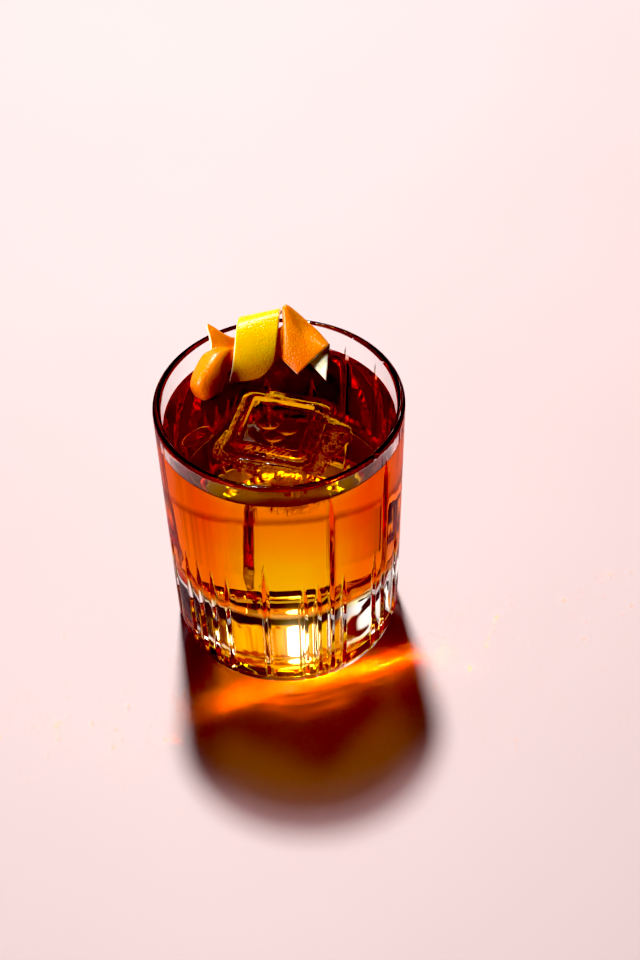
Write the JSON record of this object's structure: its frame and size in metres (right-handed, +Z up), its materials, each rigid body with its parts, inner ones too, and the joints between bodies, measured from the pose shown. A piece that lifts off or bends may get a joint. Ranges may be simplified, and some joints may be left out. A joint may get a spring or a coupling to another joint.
{
  "type": "old fashioned cocktail in a cut tumbler",
  "caption": "Amber drink on ice in a heavy-based cut tumbler, with a twist of orange peel held by a curl of lemon peel.",
  "frame": {"origin": "centre of the foot, on the surface the tumbler stands on", "axes": "+Z up through the rim; -Y is the front as pictured, +X to its right"},
  "size_m": [0.082, 0.082, 0.1074],
  "materials": {
    "glass": "clear pressed glass with polished mitre cuts",
    "drink": "clear amber spirit, still surface",
    "ice": "clear melting ice, wet",
    "lemon_peel": "fresh lemon zest, oily and pored, pale pith inside",
    "orange_peel": "fresh orange zest, fine pores, cream pith inside"
  },
  "bodies": {
    "root": {"glass": "glass", "drink": "drink", "ice_cube": "ice", "ice_chip": "ice", "lemon_peel": "lemon_peel", "orange_peel": "orange_peel"}
  },
  "joints": []
}
